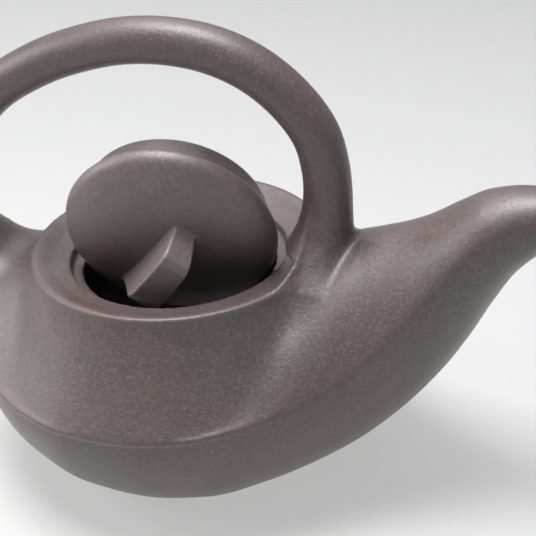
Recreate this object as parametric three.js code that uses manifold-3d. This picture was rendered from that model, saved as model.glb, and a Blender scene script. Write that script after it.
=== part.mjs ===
// Top-handle teapot of unglazed dark clay. Millimetres, +Z up, spout along +X.
// The origin is on the flat foot, under the axis of the round mouth.
// The pot is a round bowl drawn out into a spout in front and a tail behind, with a ridge all round.
// Its lid lies as someone left it: tipped on edge in the mouth, with its knob towards the front.

import * as THREE from "three";
import { mergeVertices } from "three/addons/utils/BufferGeometryUtils.js";
import Module from "manifold-3d";

const wasm = await Module();
wasm.setup();

// Walls and the clearance between pieces
const wall = 3.6;
const seam = 0.3;

// Body: the ridge runs round the pot at this radius and height
const body_radius = 52.5;
const ridge_height = 33;
const tail_reach = 64;

// Mouth: rolled lip, bevel that falls inwards, recess for the lid and the ledge under it
const mouth_radius = 37;
const mouth_height = 60;
const lip_roll = 1.1;
const lip_belly = 0.25;
const bevel_depth = 2.7;
const lid_radius = 27.6;
const lid_clearance = 0.6;
const recess_depth = 2.9;
const ledge_thickness = 3;
const flange_radius = 23.8;
const flange_clearance = 1.4;

// Spout: it starts at this plane, ends at its reach, and its wall thins towards the tip
const spout_root = 58;
const spout_reach = 108;
const spout_tip_wall = 1.9;

// Strainer plate in the root of the spout
const strainer_thickness = 2.6;
const strainer_hole = 1.5;
const strainer_pitch = 6.2;
const strainer_depth = 2;
const strainer_field = 0.7;
const strainer_rows = 3;

// Handle: a round bar in the plane of the spout
const handle_half = 6;
const handle_tail_half = 5.3;
const handle_taper_share = 0.625;
const handle_top = 116.4;
const handle_foot_flare = 6.5;
const handle_foot_swell = 0.8;
const handle_foot_height = 18;

// Lid and knob, and how the lid lies in the mouth
const lid_dome_height = 8;
const lid_dome_power = 2.2;
const lid_edge = 2.2;
const lid_edge_draft = 0.3;
const lid_shelf = 1.5;
const lid_wall = 3.4;
const flange_depth = 7.6;
const flange_wall = 3;
const flange_chamfer = 0.8;
const vent_radius = 1.3;
const vent_at = [-4.5, -17.5];
const knob_rise = 20.4;
const knob_root_half = 3.1;
const knob_top_half = 4.1;
const knob_heading = 230;
const lid_ahead = 1;
const lid_towards_front = 6.3;
const lid_over_mouth = 6.4;
const lid_tip = 106.8;
const lid_turn = 6.9;

// How far the shape that trims the handle's feet goes on past the spout's root and below the ridge
const trim_reach = 12;
const trim_depth = 20;

// What follows from them
const collar_radius = mouth_radius + lip_roll;
const crease_height = mouth_height - 1.6 * lip_roll;
const recess_radius = lid_radius + lid_clearance;
const recess_top = mouth_height - bevel_depth;
const ledge_top = recess_top - recess_depth;
const ledge_bottom = ledge_top - ledge_thickness;
const ledge_radius = flange_radius + flange_clearance;
const lid_centre = [lid_ahead, -lid_towards_front, mouth_height + lid_over_mouth];

const radians = THREE.MathUtils.degToRad;

// Cubic through the points that never swings past them
function curveThrough(points) {
  const last = points.length - 1;
  const step = (i) => points[i + 1][0] - points[i][0];
  const grade = (i) => (points[i + 1][1] - points[i][1]) / step(i);
  const slopes = points.map((_, i) => {
    if (i === 0) return grade(0);
    if (i === last) return grade(last - 1);
    const [before, after] = [grade(i - 1), grade(i)];
    if (before * after <= 0) return 0;
    const a = 2 * step(i) + step(i - 1);
    const b = step(i) + 2 * step(i - 1);
    return (a + b) / (a / before + b / after);
  });
  return (x) => {
    let i = 0;
    while (i < last - 1 && x > points[i + 1][0]) i += 1;
    const h = step(i);
    const t = Math.min(Math.max((x - points[i][0]) / h, 0), 1);
    const u = 1 - t;
    const ends = points[i][1] * (1 + 2 * t) * u * u + points[i + 1][1] * t * t * (3 - 2 * t);
    return ends + h * t * u * (slopes[i] * u - slopes[i + 1] * t);
  };
}

// The outlines below are drawn for a pot of these sizes, and stretched to the sizes at the top
const drawn = { tail: 64, spout: 108, radius: 52.5, ridge: 33, mouth: 60, collar: 38.1, handle: 116.4 };

const along = (x) => x * (x < 0 ? tail_reach / drawn.tail : spout_reach / drawn.spout);
const across = (y) => (y * body_radius) / drawn.radius;
const level = (z) => (z < drawn.ridge
  ? (z * ridge_height) / drawn.ridge
  : ridge_height + ((z - drawn.ridge) * (mouth_height - ridge_height)) / (drawn.mouth - drawn.ridge));
const stretched = (points, measure) => curveThrough(points.map(([x, value]) => [along(x), measure(value)]));

// Plan outline, ridge, crown and keel of the hull, each by its place along X
const half_width = stretched([
  [-64, 0.5], [-61, 9], [-54, 21], [-44, 33], [-30, 44.2], [-15, 50.8], [0, 52.5], [15, 50.3], [30, 43.5],
  [45, 33.5], [60, 23.8], [75, 16], [90, 9.6], [102, 6.9], [108, 6],
], across);
const ridge_line = stretched([
  [-64, 44], [-50, 36.5], [-30, 33.3], [0, 33], [20, 34.2], [40, 36.8], [50, 40.3], [60, 48.5], [70, 59.5],
  [80, 69.5], [90, 75], [102, 77.5], [108, 77.9],
], level);
const crown_line = stretched([
  [-64, 50], [-58, 55.5], [-52, 55.3], [-47, 54.8], [-41, 54], [-34, 47], [-20, 38], [0, 36], [20, 40],
  [30, 51], [38, 58], [46, 64.3], [54, 67.5], [60, 69.6], [66, 72.2], [74, 77], [82, 81.2], [90, 82.9],
  [100, 83.3], [108, 83.2],
], level);
const keel_line = stretched([
  [-64, 40], [-58, 27], [-50, 15], [-40, 6.5], [-28, 0], [-15, -4.5], [0, -6], [15, -4.5], [28, 0],
  [40, 5.5], [50, 11.5], [60, 20], [70, 31.5], [77, 42], [83, 52.5], [89, 61.5], [95, 67], [102, 70.6],
  [108, 72.6],
], level);
const crown_power = stretched([[-60, 1.3], [0, 1], [50, 1], [80, 0.7], [100, 0.5]], (power) => power);

function smoothMax(a, b, softness) {
  return (a + b + Math.sqrt((a - b) ** 2 + softness ** 2)) / 2;
}

const cone_power = 0.74;
const trough_softness = 5;

// Height of the outer surface above the ridge: the cone under the mouth, or the crown of spout and tail
function upperHeight(x, y) {
  const share = Math.min(Math.abs(y) / half_width(x), 1);
  const ridge = ridge_line(x);
  const crown = ridge + (crown_line(x) - ridge) * (1 - share ** 2) ** crown_power(x);
  const out = Math.max((Math.hypot(x, y) - collar_radius) / (body_radius - collar_radius), 0);
  const cone = crease_height - (crease_height - ridge_height) * out ** cone_power;
  return smoothMax(crown, cone, trough_softness * (1 - share ** 4));
}

// Height of the outer surface below the ridge, before the foot is cut flat
function lowerHeight(x, y) {
  const share = Math.min(Math.abs(y) / half_width(x), 1);
  const ridge = ridge_line(x);
  return ridge - (ridge - keel_line(x)) * Math.sqrt(1 - share ** 2);
}

// Where f changes sign between a and b
function crossing(f, a, b) {
  const halvings = 50;
  let [low, high] = [a, b];
  for (let i = 0; i < halvings; i += 1) {
    const middle = (low + high) / 2;
    if (f(middle) > 0) low = middle;
    else high = middle;
  }
  return (low + high) / 2;
}

// Radius where f changes sign, searched outwards from just off the axis
const edgeRadius = (f, far) => crossing(f, 5, far);

function ridgeRadius(angle) {
  const inside = (r) => half_width(r * Math.cos(angle)) - Math.abs(r * Math.sin(angle))
    + (r * Math.cos(angle) < -tail_reach ? -r : 0);
  return edgeRadius(inside, spout_reach);
}

// Closed geometry from loops of points, each joined to the next and the last to the first.
// Points of neighbouring loops that coincide, as on an axis, become one.
function ringed(loops) {
  const count = loops[0].length;
  const positions = loops.flat().flatMap((p) => [p.x, p.y, p.z]);
  const index = [];
  loops.forEach((_, i) => {
    const next = (i + 1) % loops.length;
    for (let j = 0; j < count; j += 1) {
      const k = (j + 1) % count;
      const corners = [i * count + j, next * count + j, next * count + k, i * count + k];
      index.push(corners[0], corners[1], corners[2], corners[0], corners[2], corners[3]);
    }
  });
  return closed(positions, index);
}

// Closed geometry from open-ended rings with a fan over each end
function capped(rings) {
  const count = rings[0].length;
  const middle = (ring) => ring.reduce((sum, p) => sum.add(p), new THREE.Vector3()).divideScalar(count);
  const points = [...rings.flat(), middle(rings[0]), middle(rings[rings.length - 1])];
  const index = [];
  for (let i = 0; i + 1 < rings.length; i += 1) {
    for (let j = 0; j < count; j += 1) {
      const k = (j + 1) % count;
      const corners = [i * count + j, (i + 1) * count + j, (i + 1) * count + k, i * count + k];
      index.push(corners[0], corners[1], corners[2], corners[0], corners[2], corners[3]);
    }
  }
  const first = rings.length * count;
  for (let j = 0; j < count; j += 1) {
    const k = (j + 1) % count;
    index.push(first, j, k, first + 1, (rings.length - 1) * count + k, (rings.length - 1) * count + j);
  }
  return closed(points.flatMap((p) => [p.x, p.y, p.z]), index);
}

// Joins points that coincide
const welded = (geometry) => mergeVertices(geometry, 1e-4);

// Merges points, drops flattened triangles and turns the faces outwards
function closed(positions, index) {
  const raw = new THREE.BufferGeometry();
  raw.setAttribute("position", new THREE.Float32BufferAttribute(positions, 3));
  raw.setIndex(index);
  return outward(welded(raw));
}

function outward(geometry) {
  const at = geometry.attributes.position;
  const point = (i) => new THREE.Vector3().fromBufferAttribute(at, i);
  const kept = [];
  let volume = 0;
  const old = geometry.index.array;
  for (let i = 0; i < old.length; i += 3) {
    const [a, b, c] = [old[i], old[i + 1], old[i + 2]];
    if (a === b || b === c || c === a) continue;
    kept.push(a, b, c);
    volume += point(a).dot(point(b).cross(point(c)));
  }
  geometry.setIndex(volume > 0 ? kept : kept.reverse());
  return geometry;
}

function toManifold(geometry) {
  const bare = geometry.clone();
  bare.deleteAttribute("normal");
  bare.deleteAttribute("uv");
  const merged = welded(bare);
  const vertProperties = new Float32Array(merged.attributes.position.array);
  const triVerts = new Uint32Array(merged.index.array);
  return new wasm.Manifold(new wasm.Mesh({ numProp: 3, vertProperties, triVerts }));
}

function fromManifold(manifold) {
  const parts = manifold.decompose().sort((a, b) => b.volume() - a.volume());
  const { vertProperties, triVerts } = parts[0].getMesh();
  const geometry = new THREE.BufferGeometry();
  geometry.setAttribute("position", new THREE.Float32BufferAttribute(vertProperties, 3));
  geometry.setIndex(Array.from(triVerts));
  return geometry;
}

function lathe(profile, segments) {
  const geometry = new THREE.LatheGeometry(profile.map(([r, z]) => new THREE.Vector2(r, z)), segments);
  geometry.deleteAttribute("normal");
  geometry.deleteAttribute("uv");
  geometry.rotateX(Math.PI / 2);
  return outward(welded(geometry));
}

// Directions round the mouth's axis, with one on each corner of the spout's root plane
const corner_angle = Math.atan2(half_width(spout_root), spout_root);
const front_steps = 5;
const back_steps = 20;
function directions() {
  const half = [];
  for (let i = 0; i < front_steps; i += 1) half.push((corner_angle * i) / front_steps);
  for (let i = 0; i < back_steps; i += 1) {
    half.push(corner_angle + ((Math.PI - corner_angle) * i) / back_steps);
  }
  return [...half, Math.PI, ...half.slice(1).reverse().map((angle) => -angle)];
}

const isFront = (angle) => Math.abs(angle) < corner_angle - 1e-6;

// A radial profile moved to its left by a distance, counting from its first point
function offsetProfile(points, distance) {
  return points.map(([r, z], i) => {
    const before = points[Math.max(i - 1, 0)];
    const after = points[Math.min(i + 1, points.length - 1)];
    const [dr, dz] = [after[0] - before[0], after[1] - before[1]];
    const length = Math.hypot(dr, dz);
    return [r - (dz / length) * distance, z + (dr / length) * distance];
  });
}

// The points up to where keep turns negative, spaced evenly again
function trimmed(points, keep, count) {
  const kept = [points[0]];
  for (let i = 1; i < points.length; i += 1) {
    const [a, b] = [keep(points[i - 1]), keep(points[i])];
    if (b >= 0) {
      kept.push(points[i]);
      continue;
    }
    const t = a / (a - b);
    kept.push([0, 1].map((axis) => points[i - 1][axis] + (points[i][axis] - points[i - 1][axis]) * t));
    break;
  }
  const path = new THREE.CurvePath();
  for (let i = 1; i < kept.length; i += 1) {
    path.add(new THREE.LineCurve(new THREE.Vector2(...kept[i - 1]), new THREE.Vector2(...kept[i])));
  }
  return path.getSpacedPoints(count - 1).map((p) => [p.x, p.y]);
}

const spread = (from, to, count) =>
  Array.from({ length: count }, (_, i) => from + ((to - from) * i) / (count - 1));
const around = (angle, [r, z]) => new THREE.Vector3(r * Math.cos(angle), r * Math.sin(angle), z);
const radial = (angle, r, height) => [r, height(r * Math.cos(angle), r * Math.sin(angle))];

const profile_points = 10;
const sample_points = 24;
const mouth_sides = 64;
const lid_sides = 48;

// Upper shell, from the collar's joint down to the ridge or to the spout's root plane
function makeShoulderShell() {
  const loops = directions().map((angle) => {
    const start = collar_radius + seam;
    const slack = 0.05;
    const front = isFront(angle);
    const end = front ? spout_root / Math.cos(angle) : ridgeRadius(angle);
    const floor = ridge_line(end * Math.cos(angle)) + seam / 2;
    const reach = front ? end + wall : end;
    const fine = spread(start, reach, sample_points).map((r) => radial(angle, r, upperHeight));
    if (!front) fine[fine.length - 1] = [end, floor];
    const keep = front ? ([r]) => end - r : ([, z]) => z - floor;
    const outer = trimmed(fine, front ? keep : () => 0, profile_points);
    const inside = offsetProfile(fine, -wall).map(([r, z]) => [Math.max(r, start), z]);
    const first = [start, fine[0][1] - 2 * wall];
    const inner = trimmed([first, ...inside.filter(([r]) => r > start + slack)], keep, profile_points);
    return [...outer, ...inner.reverse()].map((point) => around(angle, point));
  });
  return ringed(loops);
}

// Lower shell, from the middle of the flat foot out to the ridge or to the spout's root plane
function makeLowerBowl() {
  const loops = directions().map((angle) => {
    const front = isFront(angle);
    const end = front ? spout_root / Math.cos(angle) : ridgeRadius(angle);
    const ceiling = ridge_line(end * Math.cos(angle)) - seam / 2;
    const reach = front ? end + 2 * wall : end;
    const height = (r) => lowerHeight(r * Math.cos(angle), r * Math.sin(angle));
    const foot_edge = edgeRadius((r) => -height(r), end);
    const curve = Array.from({ length: sample_points }, (_, i) => {
      const share = i / (sample_points - 1);
      const r = foot_edge + (reach - foot_edge) * (front ? share : Math.sin((share * Math.PI) / 2));
      return [r, Math.min(Math.max(height(r), 0), ceiling)];
    });
    const keep = front ? ([r]) => end - r : ([, z]) => ceiling - z;
    const outer = trimmed(curve, front ? keep : () => 0, profile_points);
    const slack = 0.01;
    const raised = offsetProfile([[0, 0], ...curve], wall).filter(([r, z]) => r > 0 && z >= wall - slack);
    const inner = trimmed(raised, keep, profile_points);
    return [[0, 0], ...outer, ...inner.reverse(), [0, wall]].map((point) => around(angle, point));
  });
  return ringed(loops);
}

// Ring with the rolled lip, the bevel, the recess and the ledge that carries the lid
function makeMouthCollar() {
  return lathe([
    [ledge_radius, ledge_bottom], [collar_radius, ledge_bottom], [collar_radius, crease_height],
    [collar_radius + lip_belly, crease_height + 0.5 * lip_roll],
    [collar_radius, mouth_height - 0.45 * lip_roll],
    [mouth_radius + 0.5 * lip_roll, mouth_height - 0.1 * lip_roll], [mouth_radius, mouth_height],
    [mouth_radius - 0.6 * lip_roll, mouth_height - 0.15 * lip_roll],
    [(mouth_radius + recess_radius) / 2, mouth_height - 0.62 * bevel_depth],
    [recess_radius, recess_top], [recess_radius, ledge_top], [ledge_radius, ledge_top],
    [ledge_radius, ledge_bottom],
  ], mouth_sides);
}

// How much longer a wall's cut is across a line than straight through the wall
const steepness = (line, x) => Math.hypot(1, (line(x + 1) - line(x - 1)) / 2);

// One ring of the hull's section at x, shrunk on all sides by an inset
const section_points = 12;
function section(x, inset) {
  const least = 0.3;
  const half = Math.max(half_width(x) - inset * steepness(half_width, x), least);
  const ridge = ridge_line(x);
  const rise = Math.max(crown_line(x) - inset * steepness(crown_line, x) - ridge, least);
  const drop = Math.max(ridge - keel_line(x) - inset * steepness(keel_line, x), least);
  return Array.from({ length: 2 * section_points }, (_, i) => {
    const angle = (i * Math.PI) / section_points;
    const y = half * Math.cos(angle);
    const share = Math.abs(Math.sin(angle));
    const up = rise * share ** (2 * crown_power(x));
    return new THREE.Vector3(x, y, Math.sin(angle) >= 0 ? ridge + up : ridge - drop * share);
  });
}

const spout_wall = (x) => wall + ((spout_tip_wall - wall) * (x - spout_root)) / (spout_reach - spout_root);

// Hollow spout, its sections upright and its pointed keel rising to the tip
function makeSpout() {
  const station_count = 16;
  const stations = spread(spout_root + seam, spout_reach, station_count);
  const outer = stations.map((x) => section(x, 0));
  const inner = stations.map((x) => section(x, spout_wall(x)));
  const edge = (rings, i) => rings.map((ring) => ring[i]);
  const loops = outer[0].map((_, i) => [...edge(outer, i), ...edge(inner, i).reverse()]);
  return ringed(loops);
}

// Pierced plate that keeps the leaves back, fitted to the bore just inside the spout's root
function makeStrainer() {
  const back = spout_root + strainer_depth;
  const front = back + strainer_thickness;
  const rings = [back, front].map((x) => section(x, spout_wall(x) + seam));
  const heights = rings[0].map((p) => p.z);
  const middle = (Math.min(...heights) + Math.max(...heights)) / 2;
  const half_height = (Math.max(...heights) - Math.min(...heights)) / 2;
  const half = half_width(back) - wall;
  const drill_length = 6 * strainer_thickness;
  const drill_sides = 8;
  let plate = toManifold(capped(rings));
  for (let row = -strainer_rows; row <= strainer_rows; row += 1) {
    for (let column = -strainer_rows; column <= strainer_rows; column += 1) {
      const y = (column + (row % 2 === 0 ? 0 : 0.5)) * strainer_pitch;
      const z = middle + row * strainer_pitch * (Math.sqrt(3) / 2);
      if (Math.hypot(y / half, (z - middle) / half_height) > strainer_field) continue;
      const drill = new THREE.CylinderGeometry(strainer_hole, strainer_hole, drill_length, drill_sides);
      drill.rotateZ(Math.PI / 2);
      drill.translate((back + front) / 2, y, z);
      plate = plate.subtract(toManifold(drill));
    }
  }
  return fromManifold(plate);
}

// Solid shape of the whole closed pot, used to cut the feet of the handle to its surface.
// The cone is steep, so a margin straight up has to be larger than the seam that it leaves.
function potEnvelope() {
  const station_count = 90;
  const side_count = 41;
  const stations = spread(-tail_reach, spout_root + trim_reach, station_count);
  const grow = seam;
  const slope_margin = 2.4 * seam;
  const floor = ridge_height - trim_depth;
  const rings = stations.map((x) => {
    const half = half_width(x) + grow;
    return spread(-half, half, side_count)
      .map((y) => new THREE.Vector3(x, y, upperHeight(x, y) + slope_margin))
      .concat([new THREE.Vector3(x, half, floor), new THREE.Vector3(x, -half, floor)]);
  });
  const hull = toManifold(capped(rings));
  const mouth = toManifold(lathe([
    [0, ledge_bottom], [collar_radius + grow, ledge_bottom], [collar_radius + grow, crease_height],
    [collar_radius + lip_belly + grow, crease_height + 0.5 * lip_roll], [collar_radius + grow, mouth_height],
    [mouth_radius, mouth_height + grow], [mouth_radius - lip_roll, mouth_height + 0.5 * grow],
    [recess_radius, recess_top + 2 * grow], [0, recess_top + 2 * grow],
  ], mouth_sides));
  return hull.add(mouth);
}

// Centre line of the handle, from the tail's foot over the mouth to the foot beside the spout.
// Its back goes with the tail, its front with the collar, and its height over the mouth with its top.
const handle_path = [
  [-54, 44], [-57.5, 54], [-59.5, 64], [-60, 73], [-58.5, 82], [-55, 89.5], [-50, 96], [-44, 101.4],
  [-37, 105.8], [-28.6, 110], [-20, 113.1], [-11, 115.4], [-3, 116.4], [5, 116.3], [12.5, 115.2],
  [19.5, 112.9], [26, 109.4], [32, 104.4], [37, 98.3], [39.8, 92.8], [41.2, 86], [41.6, 80], [41.4, 72],
  [40.5, 62], [39.5, 52],
].map(([x, z]) => new THREE.Vector3(
  x < 0 ? along(x) : (x * collar_radius) / drawn.collar,
  0,
  z < drawn.mouth
    ? level(z)
    : mouth_height + ((z - drawn.mouth) * (handle_top - mouth_height)) / (drawn.handle - drawn.mouth),
));

function makeHandle() {
  const path = new THREE.CatmullRomCurve3(handle_path, false, "centripetal");
  const steps = 44;
  const sides = 16;
  const rings = Array.from({ length: steps + 1 }, (_, i) => {
    const share = i / steps;
    const at = path.getPointAt(share);
    const heading = path.getTangentAt(share);
    const out = new THREE.Vector3(heading.z, 0, -heading.x);
    const taper = Math.min(share / handle_taper_share, 1);
    const half = handle_tail_half + (handle_half - handle_tail_half) * taper;
    const foot = at.x > 0 ? crease_height : crown_line(at.x);
    const flare = THREE.MathUtils.clamp(1 - (at.z - foot) / handle_foot_height, 0, 1) ** 2;
    return Array.from({ length: sides }, (_, j) => {
      const angle = (2 * Math.PI * j) / sides;
      return at.clone()
        .addScaledVector(out, (half + handle_foot_swell * flare) * Math.cos(angle))
        .add(new THREE.Vector3(0, (half + handle_foot_flare * flare) * Math.sin(angle), 0));
    });
  });
  return fromManifold(toManifold(capped(rings)).subtract(potEnvelope()));
}

// Height of the dome over the plane of the lid's edge
const domeHeight = (r) => lid_dome_height * Math.sqrt(Math.max(1 - (r / lid_radius) ** lid_dome_power, 0));

function domeProfile(grow) {
  const shares = [0, 0.18, 0.36, 0.54, 0.7, 0.83, 0.93, 1];
  return shares.map((share) => [share * lid_radius, domeHeight(share * lid_radius) + grow]);
}

function makeLidDome() {
  const rim = [
    [lid_radius, 0], [lid_radius - lid_edge_draft, -lid_edge],
    [flange_radius - flange_wall - lid_shelf, -lid_edge],
  ];
  const hollow = [0.62, 0.4, 0.2, 0].map((share) => {
    const r = share * lid_radius;
    return [r, domeHeight(r) - lid_wall];
  });
  const solid = toManifold(lathe([...domeProfile(0), ...rim, ...hollow], lid_sides));
  const drill_length = 40;
  const drill_sides = 12;
  const drill = new THREE.CylinderGeometry(vent_radius, vent_radius, drill_length, drill_sides);
  drill.rotateX(Math.PI / 2);
  drill.translate(vent_at[0], vent_at[1], 0);
  return fromManifold(solid.subtract(toManifold(drill)));
}

function makeLidFlange() {
  const low = -lid_edge - flange_depth;
  const inner = flange_radius - flange_wall;
  return lathe([
    [inner, -lid_edge], [flange_radius, -lid_edge], [flange_radius, low + flange_chamfer],
    [flange_radius - flange_chamfer, low],
    [inner + flange_chamfer / 2, low], [inner, low + flange_chamfer / 2], [inner, -lid_edge],
  ], lid_sides);
}

// Side view of the fin: distance along it and height over the plane of the lid's edge
const knob_outline = [
  [-10.3, 2], [-10.3, knob_rise - 5.2], [-9.6, knob_rise - 3], [-8, knob_rise - 1.5], [-5, knob_rise - 0.9],
  [0, knob_rise - 0.3], [4.5, knob_rise], [6.6, knob_rise - 0.4], [8.4, knob_rise - 1.8],
  [12.4, knob_rise - 7.6],
  [18.6, 4.8], [19, 2],
];

// Faceted fin, thicker at its top, cut below to the dome
function makeLidKnob() {
  const outline = new THREE.Shape(knob_outline.map(([forward, up]) => new THREE.Vector2(forward, up)));
  // Drawn with its two faces at -1 and 1, which the loop below moves out to their own thickness
  const depth = 2;
  const fin = new THREE.ExtrudeGeometry(outline, { depth, bevelEnabled: false });
  fin.translate(0, 0, -depth / 2);
  const at = fin.attributes.position;
  for (let i = 0; i < at.count; i += 1) {
    const up = at.getY(i);
    const raised = (up - lid_dome_height) / (knob_rise - lid_dome_height);
    const half = knob_root_half + (knob_top_half - knob_root_half) * raised;
    at.setXYZ(i, at.getX(i), -half * at.getZ(i), up);
  }
  fin.rotateZ(radians(knob_heading));
  const base = -5;
  const cut = toManifold(lathe([[0, base], ...domeProfile(seam), [lid_radius, base], [0, base]], lid_sides));
  fin.deleteAttribute("normal");
  fin.deleteAttribute("uv");
  return fromManifold(toManifold(outward(welded(fin))).subtract(cut));
}

function piece(name, geometry, color, roughness) {
  const bare = geometry.index ? geometry.toNonIndexed() : geometry;
  bare.computeVertexNormals();
  const mesh = new THREE.Mesh(bare, new THREE.MeshStandardMaterial({ color, roughness, metalness: 0 }));
  mesh.name = name;
  return mesh;
}

const teapot = new THREE.Group();
teapot.add(
  piece("lower_bowl", makeLowerBowl(), 0x6a5f60, 0.62),
  piece("shoulder_shell", makeShoulderShell(), 0x6c6062, 0.6),
  piece("mouth_collar", makeMouthCollar(), 0x74696a, 0.58),
  piece("spout", makeSpout(), 0x6e6364, 0.6),
  piece("strainer", makeStrainer(), 0x665b5c, 0.7),
  piece("handle", makeHandle(), 0x6a5e5f, 0.58),
);

// The lid's own frame has the lid's axis along Z; it is tipped, turned and set in the mouth
const lid = new THREE.Group();
lid.rotation.x = radians(lid_tip);
lid.add(
  piece("lid_dome", makeLidDome(), 0x655a5c, 0.58),
  piece("lid_flange", makeLidFlange(), 0x6b6061, 0.64),
  piece("lid_knob", makeLidKnob(), 0x6d6263, 0.6),
);
const lid_place = new THREE.Group();
lid_place.rotation.z = radians(lid_turn);
lid_place.position.set(...lid_centre);
lid_place.add(lid);
teapot.add(lid_place);

export default teapot;
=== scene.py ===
"""Top-handle teapot of unglazed dark clay, dressed over its CAD frame.

The pot is one fired piece of clay, so bowl, shoulder, mouth, spout and handle are given one skin, and the lid another.
Each skin is the surface where a distance field changes sign. The fields are worked out in millimetres from the same
outlines as the frame, with the soft joins that a potter's thumb leaves where the frame has seams.
"""

import math

import bpy
import numpy as np
from mathutils import Matrix, Vector


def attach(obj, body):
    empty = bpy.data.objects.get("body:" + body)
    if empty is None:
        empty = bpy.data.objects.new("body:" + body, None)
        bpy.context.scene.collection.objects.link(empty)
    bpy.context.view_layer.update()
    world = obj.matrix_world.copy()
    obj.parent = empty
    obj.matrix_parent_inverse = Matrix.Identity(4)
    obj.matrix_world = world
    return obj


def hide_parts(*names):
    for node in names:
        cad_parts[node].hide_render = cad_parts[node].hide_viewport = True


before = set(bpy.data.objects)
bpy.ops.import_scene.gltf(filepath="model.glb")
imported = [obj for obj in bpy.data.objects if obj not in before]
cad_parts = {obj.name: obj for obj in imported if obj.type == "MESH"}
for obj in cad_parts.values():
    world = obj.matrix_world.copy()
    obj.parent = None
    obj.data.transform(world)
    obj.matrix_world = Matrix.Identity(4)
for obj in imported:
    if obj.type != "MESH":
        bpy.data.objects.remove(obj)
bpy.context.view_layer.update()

MM = 0.001

# Camera: where it stands round the pot, and which point of the pot is where in the square picture
VIEW_AZIMUTH = 20.0
VIEW_ELEVATION = 30.0
VIEW_ROLL = 5.0
VIEW_DISTANCE = 470.0
VIEW_TARGET = (0.0, 0.0, 60.0)
TARGET_PIXEL = (178.0, 242.0)
PICTURE_PIXELS = 536
PIXEL_SIZE_AT_TARGET = 0.2587
SENSOR_WIDTH = 36.0

# Body
WALL = 3.6
BODY_RADIUS = 52.5
RIDGE_HEIGHT = 33.0
TAIL_REACH = 64.0
HOLLOW_TAIL_REACH = 50.0
SPOUT_ROOT = 58.0
SPOUT_REACH = 108.0
SPOUT_TIP_WALL = 1.9
TROUGH_SOFTNESS = 5.0
UNDERCUT_DEPTH = 12.0
CONE_POWER = 0.74
FOOT_ROUND = 0.8
TAIL_ROUND = 1.0

# Mouth
MOUTH_RADIUS = 37.0
MOUTH_HEIGHT = 60.0
LIP_ROLL = 1.1
BEVEL_DEPTH = 2.7
RECESS_DEPTH = 2.9
LEDGE_THICKNESS = 3.0
LID_RADIUS = 27.6
LID_CLEARANCE = 0.6
FLANGE_RADIUS = 23.8
FLANGE_CLEARANCE = 1.4
COLLAR_RADIUS = MOUTH_RADIUS + LIP_ROLL
CREASE_HEIGHT = MOUTH_HEIGHT - 1.6 * LIP_ROLL
RECESS_RADIUS = LID_RADIUS + LID_CLEARANCE
RECESS_TOP = MOUTH_HEIGHT - BEVEL_DEPTH
LEDGE_TOP = RECESS_TOP - RECESS_DEPTH
LEDGE_BOTTOM = LEDGE_TOP - LEDGE_THICKNESS
LEDGE_RADIUS = FLANGE_RADIUS + FLANGE_CLEARANCE
MOUTH_ROUND = 0.6

# Handle
HANDLE_HALF = 6.0
HANDLE_TAIL_HALF = 5.3
HANDLE_TAPER_SHARE = 0.625
HANDLE_FOOT_FLARE = 6.5
HANDLE_FOOT_SWELL = 0.8
HANDLE_FOOT_HEIGHT = 18.0
HANDLE_PATH = [
    (-54, 44), (-57.5, 54), (-59.5, 64), (-60, 73), (-58.5, 82), (-55, 89.5), (-50, 96), (-44, 101.4),
    (-37, 105.8), (-28.6, 110), (-20, 113.1), (-11, 115.4), (-3, 116.35), (5, 116.25), (12.5, 115.15), (19.5, 112.9),
    (26, 109.4), (32, 104.4), (37, 98.3), (39.8, 92.8), (41.2, 86), (41.6, 80), (41.4, 72),
    (COLLAR_RADIUS + 2.4, 62), (COLLAR_RADIUS + 1.4, 52),
]

# Lid, and how it lies tipped in the mouth
LID_DOME_HEIGHT = 8.0
LID_DOME_POWER = 2.2
LID_DOME_ROLL = 0.72
LID_EDGE = 2.2
LID_WALL = 3.4
LID_ROUND = 1.6
FLANGE_DEPTH = 7.6
FLANGE_WALL = 3.0
FLANGE_ROUND = 1.0
VENT_RADIUS = 1.3
VENT_AT = (-4.5, -17.5)
LID_CENTRE = (1.0, -6.3, 66.4)
LID_TIP = 106.8
LID_TURN = 6.9
KNOB_RISE = 20.4
KNOB_ROOT_HALF = 3.1
KNOB_TOP_HALF = 4.1
KNOB_HEADING = 230.0
KNOB_ROUND = 0.7
KNOB_SINK = 1.5
KNOB_OUTLINE = [
    (-10.3, 2), (-10.3, KNOB_RISE - 5.2), (-9.6, KNOB_RISE - 3), (-8, KNOB_RISE - 1.5), (-5, KNOB_RISE - 0.9),
    (0, KNOB_RISE - 0.3), (4.5, KNOB_RISE), (6.6, KNOB_RISE - 0.4), (8.4, KNOB_RISE - 1.8), (12.4, KNOB_RISE - 7.6),
    (18.6, 4.8), (19, 2),
]

# How finely the clay is skinned
POT_CELL = 0.6
LID_CELL = 0.4

# Share of the sheet's look that no shadow darkens
SHEET_EVEN_SHARE = 0.6


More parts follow.
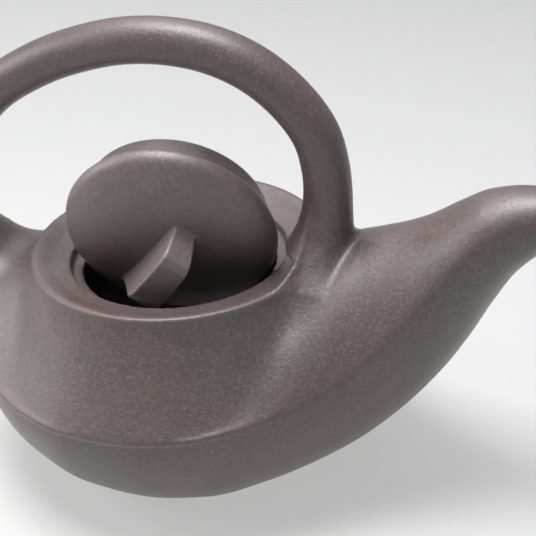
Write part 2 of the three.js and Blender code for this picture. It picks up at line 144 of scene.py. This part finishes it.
def curve_through(points):
    """Cubic through the points that never swings past them."""
    xs, ys = np.array(points, dtype=float).T
    step = np.diff(xs)
    grade = np.diff(ys) / step
    before, after = grade[:-1], grade[1:]
    a = 2 * step[1:] + step[:-1]
    b = step[1:] + 2 * step[:-1]
    slopes = np.concatenate([grade[:1], np.zeros(len(xs) - 2), grade[-1:]])
    same_way = before * after > 0
    slopes[1:-1][same_way] = ((a + b) / (a / np.where(same_way, before, 1) + b / np.where(same_way, after, 1)))[same_way]

    def at(x):
        i = np.clip(np.searchsorted(xs, x) - 1, 0, len(step) - 1)
        t = np.clip((x - xs[i]) / step[i], 0, 1)
        u = 1 - t
        ends = ys[i] * (1 + 2 * t) * u * u + ys[i + 1] * t * t * (3 - 2 * t)
        return (ends + step[i] * t * u * (slopes[i] * u - slopes[i + 1] * t)).astype(np.float32)

    return at


half_width = curve_through([
    (-TAIL_REACH, 0.5), (3 - TAIL_REACH, 9), (-54, 21), (-44, 33), (-30, 44.2), (-15, 50.8), (0, BODY_RADIUS - 0.15),
    (15, 50.3), (30, 43.5), (45, 33.5), (60, 23.8), (75, 16), (90, 9.6), (102, 6.9), (SPOUT_REACH, 6),
])
ridge_line = curve_through([
    (-TAIL_REACH, 44), (-50, 36.5), (-30, 33.3), (0, RIDGE_HEIGHT), (20, 34.2), (40, 36.8), (50, 40.3), (60, 48.5),
    (70, 59.5), (80, 69.5), (90, 75), (102, 77.5), (SPOUT_REACH, 77.9),
])
crown_line = curve_through([
    (-TAIL_REACH, 50), (-58, 55.5), (-52, 55.3), (-47, 54.8), (-41, 54), (-34, 47), (-20, 38), (0, 36), (20, 40),
    (30, 51), (38, 58), (46, 64.3), (54, 67.5), (60, 69.6), (66, 72.2), (74, 77), (82, 81.2), (90, 82.9),
    (100, 83.3), (SPOUT_REACH, 83.2),
])
keel_line = curve_through([
    (-TAIL_REACH, 40), (-58, 27), (-50, 15), (-40, 6.5), (-28, 0), (-15, -4.5), (0, -6), (15, -4.5), (28, 0),
    (40, 5.5), (50, 11.5), (60, 20), (70, 31.5), (77, 42), (83, 52.5), (89, 61.5), (95, 67), (102, 70.6),
    (SPOUT_REACH, 72.6),
])
crown_power = curve_through([(-60, 1.3), (0, 1), (50, 1), (80, 0.7), (100, 0.5)])
ridge_softness = curve_through([(-TAIL_REACH, 0.9), (-30, 0.4), (20, 0.6), (48, 1.5), (75, 1.8), (100, 1.1)])
ridge_undercut = curve_through([(-60, 0.2), (-45, 0.7), (15, 0.7), (42, 0), (60, 0)])
handle_flow = curve_through([(-66, 1.2), (-60, 4.5), (-50, 10), (0, 9), (34, 13), (42, 9), (47, 3.5), (56, 2.5)])


def joined(a, b, reach):
    """Both solids as one, with a fillet that starts this far from where they meet."""
    near = np.maximum(reach - np.abs(a - b), 0) / reach
    return np.minimum(a, b) - near * near * reach / 4


def common(a, b, reach):
    """What lies in both solids, its edge rounded over."""
    return -joined(-a, -b, reach)


def true_distance(field, cell):
    """The field rescaled to rise by one for each millimetre near its surface."""
    steepness = np.sqrt(sum(grade * grade for grade in np.gradient(field, cell)))
    return field / np.maximum(steepness, 0.01)


def outline_distance(u, v, outline):
    """Distance from a closed outline of straight sides, negative inside it."""
    nearest, inside = np.float32(1e9), False
    for (ua, va), (ub, vb) in zip(outline, outline[1:] + outline[:1]):
        du, dv = ub - ua, vb - va
        t = np.clip(((u - ua) * du + (v - va) * dv) / (du * du + dv * dv), 0, 1)
        nearest = np.minimum(nearest, (u - ua - t * du) ** 2 + (v - va - t * dv) ** 2)
        if dv:
            inside = inside ^ (((va > v) != (vb > v)) & (u < ua + (v - va) * du / dv))
    return np.where(inside, -1, 1) * np.sqrt(nearest)


class Block:
    """A box of space in millimetres, cut into cells, with the coordinates of their corners."""

    def __init__(self, low, high, cell):
        self.low, self.cell = np.array(low, dtype=float), cell
        axes = [np.arange(a, b + cell, cell, dtype=np.float32) for a, b in zip(low, high)]
        self.x, self.y, self.z = np.meshgrid(*axes, indexing="ij", sparse=True)


def fill_pinches(field):
    """Fills corners where clay would touch clay only along a line, and clears specks and bubbles of one corner."""
    for _ in range(6):
        solid, pinched = field < 0, 0
        for axis in range(3):
            for side in range(axis + 1, 3):
                corners = []
                for first in (slice(None, -1), slice(1, None)):
                    for second in (slice(None, -1), slice(1, None)):
                        place = [slice(None)] * 3
                        place[axis], place[side] = first, second
                        corners.append(tuple(place))
                a, b, c, d = (solid[place] for place in corners)
                for full, empty in (((a & d & ~b & ~c), (1, 2)), ((b & c & ~a & ~d), (0, 3))):
                    at = np.argwhere(full)
                    pinched += len(at)
                    shift = np.zeros(3, dtype=int)
                    shift[axis], shift[side] = empty[0] // 2, empty[0] % 2
                    field[tuple((at + shift).T)] = -1e-3
        if not pinched:
            break
    inner, solid = (slice(1, -1),) * 3, field < 0
    alike = np.zeros(solid[inner].shape, dtype=bool)
    for axis in range(3):
        for start in (0, 2):
            place = [slice(1, -1)] * 3
            place[axis] = slice(start, start + alike.shape[axis])
            alike |= solid[tuple(place)] == solid[inner]
    field[inner] = np.where(alike, field[inner], -field[inner])
    return field


def skin(field, block):
    """Closed mesh of four-sided faces where the field changes sign: its points in millimetres, and its faces."""
    field = fill_pinches(field)
    solid = field < 0
    near, far = slice(None, -1), slice(1, None)
    corner_slices = [(i, j, k) for i in (near, far) for j in (near, far) for k in (near, far)]
    filled = sum(solid[s].astype(np.uint8) for s in corner_slices)
    crossed = (filled > 0) & (filled < 8)
    cells = np.argwhere(crossed)
    corners = np.array([(i, j, k) for i in (0, 1) for j in (0, 1) for k in (0, 1)])
    values = np.stack([field[tuple((cells + corner).T)] for corner in corners], axis=1)
    total, count = np.zeros((len(cells), 3)), np.zeros(len(cells))
    for a in range(8):
        for b in range(a + 1, 8):
            if np.abs(corners[a] - corners[b]).sum() != 1:
                continue
            cut = (values[:, a] < 0) != (values[:, b] < 0)
            share = np.where(cut, values[:, a] / np.where(cut, values[:, a] - values[:, b], 1), 0)
            total += cut[:, None] * (corners[a] + share[:, None] * (corners[b] - corners[a]))
            count += cut
    points = block.low + block.cell * (cells + total / count[:, None])

    number = np.full(crossed.shape, -1, dtype=np.int64)
    number[crossed] = np.arange(len(cells))
    faces = []
    for axis in range(3):
        others = [(axis + 1) % 3, (axis + 2) % 3]
        start = [slice(1, -1)] * 3
        start[axis] = near
        end = list(start)
        end[axis] = far
        inside, outside = solid[tuple(start)], solid[tuple(end)]
        at = np.argwhere(inside != outside)
        leaving = (inside & ~outside)[tuple(at.T)]
        at[:, others] += 1
        ring = []
        for back in ((1, 1), (0, 1), (0, 0), (1, 0)):
            cell_at = at.copy()
            cell_at[:, others[0]] -= back[0]
            cell_at[:, others[1]] -= back[1]
            ring.append(number[tuple(cell_at.T)])
        ring = np.stack(ring, axis=1)
        faces.append(np.where(leaving[:, None], ring, ring[:, ::-1]))
    return points, np.concatenate(faces)


def even_out(values, faces, rounds):
    """Each point's value averaged with those of the points beside it, several times over."""
    size = len(values)
    a, b = faces.ravel(), np.roll(faces, -1, axis=1).ravel()
    beside = np.bincount(a, minlength=size) + np.bincount(b, minlength=size)
    for _ in range(rounds):
        total = np.bincount(a, values[b], size) + np.bincount(b, values[a], size)
        values = (values + total / beside) / 2
    return values


def edge_wear_and_sheen_of(points, faces):
    """How much each point stands out from those round it: 0 in flats and hollows, 1 along a sharp edge. This marks
    edges that are both rubbed and lit by a painted highlight.
    """
    middle = np.stack([even_out(points[:, i], faces, 6) for i in range(3)], axis=1)
    diagonals = points[faces[:, 2]] - points[faces[:, 0]], points[faces[:, 3]] - points[faces[:, 1]]
    normals = np.cross(*diagonals)
    outward = np.stack(
        [sum(np.bincount(faces[:, c], normals[:, i], len(points)) for c in range(4)) for i in range(3)], axis=1
    )
    outward /= np.maximum(np.linalg.norm(outward, axis=1), 1e-9)[:, None]
    stands_out = ((points - middle) * outward).sum(axis=1)
    return np.clip(even_out(stands_out, faces, 3) / 0.14, 0, 1)


def clay_piece(name, points, faces, placed, body, nodes, finish):
    """Puts a skin into the scene as a piece that stands for the frame's nodes."""
    mesh = bpy.data.meshes.new(name)
    # Edge mark for real wear and for a painted edge highlight
    worn_and_edge_sheen = edge_wear_and_sheen_of(points, faces)
    points = points @ np.array(placed.to_3x3()).T + np.array(placed.translation)
    mesh.vertices.add(len(points))
    mesh.vertices.foreach_set("co", (points * MM).astype(np.float32).ravel())
    mesh.loops.add(faces.size)
    mesh.loops.foreach_set("vertex_index", faces.astype(np.int32).ravel())
    mesh.polygons.add(len(faces))
    mesh.polygons.foreach_set("loop_start", np.arange(0, faces.size, 4, dtype=np.int32))
    mesh.attributes.new("worn_and_edge_sheen", "FLOAT", "POINT").data.foreach_set("value", worn_and_edge_sheen.astype(np.float32))
    mesh.update(calc_edges=True)
    mesh.shade_smooth()
    mesh.materials.append(finish)
    piece = bpy.data.objects.new(name, mesh)
    bpy.context.scene.collection.objects.link(piece)
    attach(piece, body)
    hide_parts(*nodes)
    return piece


def handle_route():
    """Closely spaced points of the handle's centre line in the plane of the spout."""
    knots = np.array(HANDLE_PATH, dtype=float)
    knots = np.vstack([2 * knots[0] - knots[1], knots, 2 * knots[-1] - knots[-2]])
    gaps = np.sqrt(np.linalg.norm(np.diff(knots, axis=0), axis=1))
    route = []
    for i in range(1, len(knots) - 2):
        (p0, p1, p2, p3), (g0, g1, g2) = knots[i - 1:i + 3], gaps[i - 1:i + 2]
        leave = ((p1 - p0) / g0 - (p2 - p0) / (g0 + g1) + (p2 - p1) / g1) * g1
        arrive = ((p2 - p1) / g1 - (p3 - p1) / (g1 + g2) + (p3 - p2) / g2) * g1
        t = np.linspace(0, 1, 40, endpoint=False)[:, None]
        route.append(
            p1 * (2 * t ** 3 - 3 * t ** 2 + 1) + leave * (t ** 3 - 2 * t ** 2 + t)
            + p2 * (3 * t ** 2 - 2 * t ** 3) + arrive * (t ** 3 - t ** 2)
        )
    return np.vstack(route + [knots[-2:-1]])


def handle_field(block):
    """Round bar along its route, spread sideways at its two feet."""
    route = handle_route()
    along = np.gradient(route, axis=0)
    along /= np.linalg.norm(along, axis=1)[:, None]
    length = np.concatenate([[0], np.cumsum(np.linalg.norm(np.diff(route, axis=0), axis=1))])
    share = length / length[-1]
    half = HANDLE_TAIL_HALF + (HANDLE_HALF - HANDLE_TAIL_HALF) * np.minimum(share / HANDLE_TAPER_SHARE, 1)
    level = np.where(route[:, 0] > 0, CREASE_HEIGHT, crown_line(route[:, 0]))
    flare = np.clip(1 - (route[:, 1] - level) / HANDLE_FOOT_HEIGHT, 0, 1) ** 2

    x, z = block.x[:, 0, 0], block.z[0, 0, :]
    nearest = np.empty((len(x), len(z)), dtype=np.int64)
    for i, place in enumerate(x):
        nearest[i] = ((place - route[:, 0]) ** 2 + (z[:, None] - route[:, 1]) ** 2).argmin(axis=1)
    dx, dz = x[:, None] - route[nearest, 0], z[None, :] - route[nearest, 1]
    beyond = np.maximum(np.abs(dx * along[nearest, 0] + dz * along[nearest, 1]) - 0.5, 0)
    across = dx * along[nearest, 1] - dz * along[nearest, 0]
    offset = np.hypot(across, beyond).astype(np.float32)[:, None, :]
    deep = (half + HANDLE_FOOT_SWELL * flare)[nearest].astype(np.float32)[:, None, :]
    wide = (half + HANDLE_FOOT_FLARE * flare)[nearest].astype(np.float32)[:, None, :]
    reach = np.sqrt((offset / deep) ** 2 + (block.y / wide) ** 2)
    slope = np.sqrt((offset / deep ** 2) ** 2 + (block.y / wide ** 2) ** 2) / np.maximum(reach, 1e-3)
    return (reach - 1) / np.maximum(slope, 0.02)


def hull_field(block):
    """The closed body: bowl below the ridge, and above it the cone of the shoulder joined to the spout's crown."""
    x, y, z = block.x, block.y, block.z
    ridge = ridge_line(x)
    share = np.abs(y) / half_width(x)
    below = np.maximum(ridge - z, 0) / (ridge - keel_line(x))
    above = np.maximum(z - ridge, 0) / (crown_line(x) - ridge)
    bowl = true_distance(np.sqrt(share ** 2 + below ** 2) - 1, block.cell)
    under = ridge - z
    bowl = bowl + ridge_undercut(x) * np.clip(under - 0.4, 0, 1) * np.clip(1 - under / UNDERCUT_DEPTH, 0, 1)
    crown = true_distance(np.sqrt(share ** 2 + above ** (1 / crown_power(x))) - 1, block.cell)
    crown = np.maximum(crown, z - crown_line(x))
    out = np.maximum((np.hypot(x, y) - COLLAR_RADIUS) / (BODY_RADIUS - COLLAR_RADIUS), 0)
    cone_fall = (CREASE_HEIGHT - RIDGE_HEIGHT) / (BODY_RADIUS - COLLAR_RADIUS)
    cone = (z - CREASE_HEIGHT + (CREASE_HEIGHT - RIDGE_HEIGHT) * out ** CONE_POWER) / math.hypot(1, cone_fall)
    softness = TROUGH_SOFTNESS * (1 - np.minimum(share, 1) ** 4)
    upper = (crown + cone - np.sqrt((crown - cone) ** 2 + softness ** 2)) / 2
    closed_behind = common(bowl, -TAIL_REACH - x, TAIL_ROUND)
    return common(closed_behind, upper, ridge_softness(x))


def collar_outlines():
    """Half sections of the collar: the solid disc with its lip, the hollow of the mouth, and the ring that is left."""
    mid_bevel = ((MOUTH_RADIUS + RECESS_RADIUS) / 2, MOUTH_HEIGHT - 0.62 * BEVEL_DEPTH)
    lip = [
        (COLLAR_RADIUS, CREASE_HEIGHT), (COLLAR_RADIUS + 0.25, CREASE_HEIGHT + 0.5 * LIP_ROLL),
        (COLLAR_RADIUS, MOUTH_HEIGHT - 0.45 * LIP_ROLL),
        (MOUTH_RADIUS + 0.5 * LIP_ROLL, MOUTH_HEIGHT - 0.1 * LIP_ROLL), (MOUTH_RADIUS, MOUTH_HEIGHT),
    ]
    inside = [
        (MOUTH_RADIUS - 0.6 * LIP_ROLL, MOUTH_HEIGHT - 0.15 * LIP_ROLL), mid_bevel,
        (RECESS_RADIUS, RECESS_TOP), (RECESS_RADIUS, LEDGE_TOP), (LEDGE_RADIUS, LEDGE_TOP),
    ]
    over = MOUTH_HEIGHT + 4
    disc = [(-1, LEDGE_BOTTOM), (COLLAR_RADIUS, LEDGE_BOTTOM)] + lip + [(-1, MOUTH_HEIGHT)]
    hollow = [(-1, over), (MOUTH_RADIUS, over), (MOUTH_RADIUS, MOUTH_HEIGHT)] + inside + [
        (LEDGE_RADIUS, LEDGE_BOTTOM - WALL), (-1, LEDGE_BOTTOM - WALL)]
    ring = [(LEDGE_RADIUS, LEDGE_BOTTOM), (COLLAR_RADIUS, LEDGE_BOTTOM), (COLLAR_RADIUS, over), (LEDGE_RADIUS, over)]
    return disc, hollow, ring


def make_pot(finish):
    block = Block((-TAIL_REACH - 3, -BODY_RADIUS - 2.5, -1.5), (SPOUT_REACH + 2, BODY_RADIUS + 2.5, 124), POT_CELL)
    hull = hull_field(block)
    disc, hollow, ring = collar_outlines()
    radius = np.hypot(block.x, block.y)
    mouth_rows = slice(*np.searchsorted(block.z[0, 0], (LEDGE_BOTTOM - 3 * WALL, MOUTH_HEIGHT + 6)))
    z = block.z[:, :, mouth_rows]

    thinning = np.clip((block.x - SPOUT_ROOT) / (SPOUT_REACH - SPOUT_ROOT), 0, 1)
    cavity = np.maximum(hull + WALL + (SPOUT_TIP_WALL - WALL) * thinning, WALL - block.z)
    cavity = np.maximum(cavity, -HOLLOW_TAIL_REACH - block.x)
    cavity[:, :, mouth_rows] = np.maximum(cavity[:, :, mouth_rows], -outline_distance(radius, z, ring))

    pot = common(hull, -block.z, FOOT_ROUND)
    pot = common(pot, block.x - SPOUT_REACH + 0.2, FOOT_ROUND)
    pot[:, :, mouth_rows] = joined(pot[:, :, mouth_rows], outline_distance(radius, z, disc), MOUTH_ROUND)
    pot = joined(pot, handle_field(block), handle_flow(block.x))
    pot[:, :, mouth_rows] = common(pot[:, :, mouth_rows], -outline_distance(radius, z, hollow), MOUTH_ROUND)
    pot = np.maximum(pot, -cavity)
    points, faces = skin(pot, block)
    nodes = ("lower_bowl", "shoulder_shell", "mouth_collar", "spout", "handle")
    return clay_piece("pot_clay", points, faces, Matrix(), "pot", nodes, finish)


def make_lid(finish):
    reach = LID_RADIUS + 1.5
    block = Block((-reach, -reach, -LID_EDGE - FLANGE_DEPTH - 1.5), (reach, reach, KNOB_RISE + 1.5), LID_CELL)
    x, y, z = block.x, block.y, block.z
    radius = np.hypot(x, y)
    bulge = np.maximum(1 - (radius / LID_RADIUS) ** LID_DOME_POWER, 0)
    crown = LID_DOME_HEIGHT * bulge ** LID_DOME_ROLL
    dome = common(true_distance(z - crown, block.cell), radius - LID_RADIUS, LID_ROUND)
    dome = common(dome, -LID_EDGE - z, LID_ROUND)
    hollow_top = z - crown + LID_WALL
    dome = common(dome, -common(hollow_top, radius - (FLANGE_RADIUS - FLANGE_WALL), LID_ROUND), LID_ROUND)
    middle = FLANGE_RADIUS - FLANGE_WALL / 2
    ring = common(np.abs(radius - middle) - FLANGE_WALL / 2, -LID_EDGE - FLANGE_DEPTH - z, FLANGE_ROUND)
    ring = np.maximum(ring, z + LID_EDGE - 1)

    heading = math.radians(KNOB_HEADING)
    along = x * math.cos(heading) + y * math.sin(heading)
    across = y * math.cos(heading) - x * math.sin(heading)
    raised = (z - LID_DOME_HEIGHT) / (KNOB_RISE - LID_DOME_HEIGHT)
    thickness = np.abs(across) - (KNOB_ROOT_HALF + (KNOB_TOP_HALF - KNOB_ROOT_HALF) * raised)
    knob = common(outline_distance(along, z, KNOB_OUTLINE), thickness, KNOB_ROUND)
    knob = np.maximum(knob, crown - KNOB_SINK - z)

    lid = joined(joined(dome, ring, 0.8), knob, 0.9)
    vent = np.hypot(x - VENT_AT[0], y - VENT_AT[1]) - VENT_RADIUS
    lid = common(lid, -vent, 0.6)
    points, faces = skin(lid, block)
    placed = (
        Matrix.Translation(LID_CENTRE)
        @ Matrix.Rotation(math.radians(LID_TURN), 4, "Z")
        @ Matrix.Rotation(math.radians(LID_TIP), 4, "X")
    )
    nodes = ("lid_dome", "lid_flange", "lid_knob")
    return clay_piece("lid_clay", points, faces, placed, "lid", nodes, finish)


class Amount:
    """A number that changes over a surface. Sums and products of it become Math nodes."""

    def __init__(self, finish, socket):
        self.finish, self.socket = finish, socket

    def _math(self, operation, first, second):
        return self.finish.node("ShaderNodeMath", {"operation": operation}, {0: first, 1: second})

    def __add__(self, other):
        return self._math("ADD", self, other)

    def __sub__(self, other):
        return self._math("SUBTRACT", self, other)

    def __rsub__(self, other):
        return self._math("SUBTRACT", other, self)

    def __mul__(self, other):
        return self._math("MULTIPLY", self, other)

    __radd__, __rmul__ = __add__, __mul__


class Finish:
    """A material, or the room's own light, under construction."""

    def __init__(self, material):
        self.material = material
        material.use_nodes = True
        self.tree = material.node_tree
        self.tree.nodes.clear()

    def node(self, kind, settings=None, inputs=None, output=0):
        """Adds a node, its settings first and then its sockets, and returns one of its outputs."""
        made = self.tree.nodes.new(kind)
        for name, value in (settings or {}).items():
            setattr(made, name, value)
        for name, value in (inputs or {}).items():
            if isinstance(value, Amount):
                self.tree.links.new(value.socket, made.inputs[name])
            else:
                made.inputs[name].default_value = value
        return Amount(self, made.outputs[output]) if made.outputs else None

    def finished(self, shader, output="ShaderNodeOutputMaterial"):
        """Makes this shader the material's surface, and returns the material."""
        self.node(output, None, {"Surface": shader})
        return self.material

    def noise(self, place, size, detail=3.0, roughness=0.5):
        """Cloudy noise whose patches are about this many metres across."""
        return self.node("ShaderNodeTexNoise", None, {
            "Vector": place, "Scale": 1 / size, "Detail": detail, "Roughness": roughness})

    def between(self, amount, low, high):
        """0 up to low, 1 from high on, and even in between."""
        return self.node("ShaderNodeMapRange", {"clamp": True}, {0: amount, 1: low, 2: high, 3: 0.0, 4: 1.0})

    def blended(self, share, first, second):
        return self.node("ShaderNodeMix", {"data_type": "RGBA"}, {0: share, 6: first, 7: second}, output=2)

    def seen_as_backdrop(self):
        """1 where the camera sees this, also by way of a sheen or through glass, and 0 where it only gives light."""
        rays = ("Is Camera Ray", "Is Glossy Ray", "Is Transmission Ray")
        direct, by_sheen, through_glass = (self.node("ShaderNodeLightPath", output=ray) for ray in rays)
        return self.between(direct + by_sheen + through_glass, 0.0, 1.0)


def clay_finish(name, ground, tint, pale):
    """Unglazed clay: cloudy tone, fine grain, pale specks, small pits, and redder, lighter, rougher sharp edges,
    partly real wear and partly a painted highlight.
    """
    clay = Finish(bpy.data.materials.new(name))
    place = clay.node("ShaderNodeTexCoord", output="Object")
    cloud = clay.noise(place, 30 * MM, 3.0)
    mottle = clay.noise(place, 5 * MM, 5.0, 0.6)
    grain = clay.noise(place, 1.0 * MM, 4.0, 0.75)
    sand = clay.node("ShaderNodeTexVoronoi", None, {"Vector": place, "Scale": 1 / (1.9 * MM)})
    pits = clay.node("ShaderNodeTexVoronoi", None, {"Vector": place, "Scale": 1 / (1.1 * MM)})
    worn_and_edge_sheen = clay.node("ShaderNodeAttribute", {"attribute_name": "worn_and_edge_sheen"}, output="Fac")

    colour = clay.blended(clay.between(cloud, 0.35, 0.7), ground, tint)
    dark = tuple(0.72 * c for c in ground[:3]) + (1.0,)
    colour = clay.blended(clay.between(mottle, 0.62, 0.3) * 0.45, colour, dark)
    colour = clay.blended(clay.between(grain, 0.45, 0.7) * 0.5, colour, pale)
    # Sharp edges are tinted redder as real wear and lighter as a painted highlight
    colour = clay.blended(worn_and_edge_sheen * 0.5, colour, tuple(1.3 * c for c in tint[:3]) + (1.0,))
    specks = (1.0 - clay.between(sand, 0.05, 0.12)) * clay.between(mottle, 0.45, 0.6)
    colour = clay.blended(specks * 0.7, colour, tuple(2.1 * c for c in pale[:3]) + (1.0,))

    rough = 0.3 + grain * 0.24 + worn_and_edge_sheen * 0.1
    height = grain * 0.6 + clay.between(pits, 0.0, 0.22) * 0.5 + mottle * 0.5
    bump = clay.node("ShaderNodeBump", None, {"Strength": 1.0, "Distance": 0.22 * MM, "Height": height})
    shader = clay.node("ShaderNodeBsdfPrincipled", None, {
        "Base Color": colour, "Roughness": rough, "Normal": bump, "IOR": 1.5,
        "Coat Weight": 0.5, "Coat Roughness": 0.42})
    return clay.finished(shader)


def paper_finish():
    """Pale sheet under and behind the pot, darker towards the back as painted shade where less light would reach it.
    Part of what the camera sees of it is its own even tone.
    """
    paper = Finish(bpy.data.materials.new("pale_sheet"))
    place = paper.node("ShaderNodeTexCoord", output="Object")
    fibre = paper.noise(place, 4 * MM, 4.0)
    behind = paper.node("ShaderNodeSeparateXYZ", None, {"Vector": place}, output=1)
    # Painted shade: the sheet's tone falls from near to far, standing in for light that fades behind the pot
    near_tone, far_tone = (0.77, 0.77, 0.765, 1.0), (0.43, 0.43, 0.435, 1.0)
    tone = paper.blended(paper.between(behind, 0.0, 0.4), near_tone, far_tone)
    colour = paper.blended(fibre * 0.3, tone, (0.66, 0.66, 0.66, 1.0))
    lit = paper.node("ShaderNodeBsdfPrincipled", None, {"Base Color": colour, "Roughness": 0.75})
    even = paper.node("ShaderNodeBsdfPrincipled", None, {
        "Base Color": (0.0, 0.0, 0.0, 1.0), "Specular IOR Level": 0.0,
        "Emission Color": colour, "Emission Strength": 1.0})
    share = paper.seen_as_backdrop() * SHEET_EVEN_SHARE
    shader = paper.node("ShaderNodeMixShader", None, {0: share, 1: lit, 2: even})
    return paper.finished(shader)


def make_sheet():
    """A sheet that lies under the pot and curves up behind it."""
    flat, sweep, height = 0.9, 0.5, 1.6
    profile = [(-1.2, 0.0), (flat, 0.0)]
    profile += [(flat + sweep * math.sin(a), sweep - sweep * math.cos(a)) for a in np.linspace(0, math.pi / 2, 16)[1:]]
    profile.append((flat + sweep, height))
    turn = Matrix.Rotation(math.radians(VIEW_AZIMUTH), 3, "Z")
    points = [turn @ Vector((side, y, z - 0.0002)) for y, z in profile for side in (-1.8, 1.8)]
    faces = [(2 * i, 2 * i + 1, 2 * i + 3, 2 * i + 2) for i in range(len(profile) - 1)]
    mesh = bpy.data.meshes.new("pale_sheet")
    mesh.from_pydata(points, [], faces)
    mesh.shade_smooth()
    mesh.materials.append(paper_finish())
    sheet = bpy.data.objects.new("pale_sheet", mesh)
    bpy.context.scene.collection.objects.link(sheet)


def make_camera():
    azimuth, elevation, roll = (math.radians(a) for a in (VIEW_AZIMUTH, VIEW_ELEVATION, VIEW_ROLL))
    back = Vector((math.sin(azimuth) * math.cos(elevation), -math.cos(azimuth) * math.cos(elevation),
                   math.sin(elevation)))
    level = Vector((math.cos(azimuth), math.sin(azimuth), 0))
    upright = back.cross(level)
    right = level * math.cos(roll) - upright * math.sin(roll)
    up = upright * math.cos(roll) + level * math.sin(roll)
    focal_pixels = VIEW_DISTANCE / PIXEL_SIZE_AT_TARGET
    aside = (TARGET_PIXEL[0] - PICTURE_PIXELS / 2) / focal_pixels
    above = -(TARGET_PIXEL[1] - PICTURE_PIXELS / 2) / focal_pixels
    data = bpy.data.cameras.new("view")
    data.sensor_width = SENSOR_WIDTH
    data.lens = focal_pixels * SENSOR_WIDTH / PICTURE_PIXELS
    data.clip_start, data.clip_end = 0.01, 10
    camera = bpy.data.objects.new("view", data)
    place = (Vector(VIEW_TARGET) + (back - right * aside - up * above) * VIEW_DISTANCE) * MM
    turn = Matrix((right, up, back)).transposed().to_4x4()
    camera.matrix_world = Matrix.Translation(place) @ turn
    bpy.context.scene.collection.objects.link(camera)
    bpy.context.scene.camera = camera


def make_lamp(name, size, power, place, target=(0.0, 0.0, 0.05)):
    data = bpy.data.lights.new(name, "AREA")
    data.shape, data.size, data.energy = "SQUARE", size, power
    lamp = bpy.data.objects.new(name, data)
    lamp.location = place
    lamp.rotation_mode = "QUATERNION"
    lamp.rotation_quaternion = (Vector(target) - Vector(place)).to_track_quat("-Z", "Y")
    bpy.context.scene.collection.objects.link(lamp)


def make_light():
    room = Finish(bpy.data.worlds.new("room"))
    glow = room.node("ShaderNodeBackground", None, {"Color": (0.9, 0.93, 1.0, 1.0), "Strength": 0.16})
    pale = room.node("ShaderNodeBackground", None, {"Color": (0.5, 0.5, 0.505, 1.0), "Strength": 1.0})
    shader = room.node("ShaderNodeMixShader", None, {0: room.seen_as_backdrop(), 1: glow, 2: pale})
    bpy.context.scene.world = room.finished(shader, "ShaderNodeOutputWorld")
    make_lamp("top_box", 0.5, 15.5, (-0.12, 0.02, 1.05))
    make_lamp("back_box", 0.8, 2.6, (-0.25, 0.6, 0.9))
    make_lamp("side_box", 0.5, 4.4, (-0.9, -0.15, 0.5))


make_camera()
bpy.context.scene.view_settings.view_transform = "Standard"
dark_clay = clay_finish("dark_clay", (0.076, 0.058, 0.060, 1.0), (0.094, 0.062, 0.057, 1.0), (0.18, 0.147, 0.144, 1.0))
# The lid's clay is a paler copy of the pot's clay: painted light for the extra light that falls on the lid's face
lid_clay = clay_finish("lid_clay", (0.128, 0.103, 0.107, 1.0), (0.150, 0.106, 0.098, 1.0), (0.23, 0.196, 0.194, 1.0))
make_pot(dark_clay)
make_lid(lid_clay)
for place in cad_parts["strainer"].material_slots:
    place.material = dark_clay
make_sheet()
make_light()
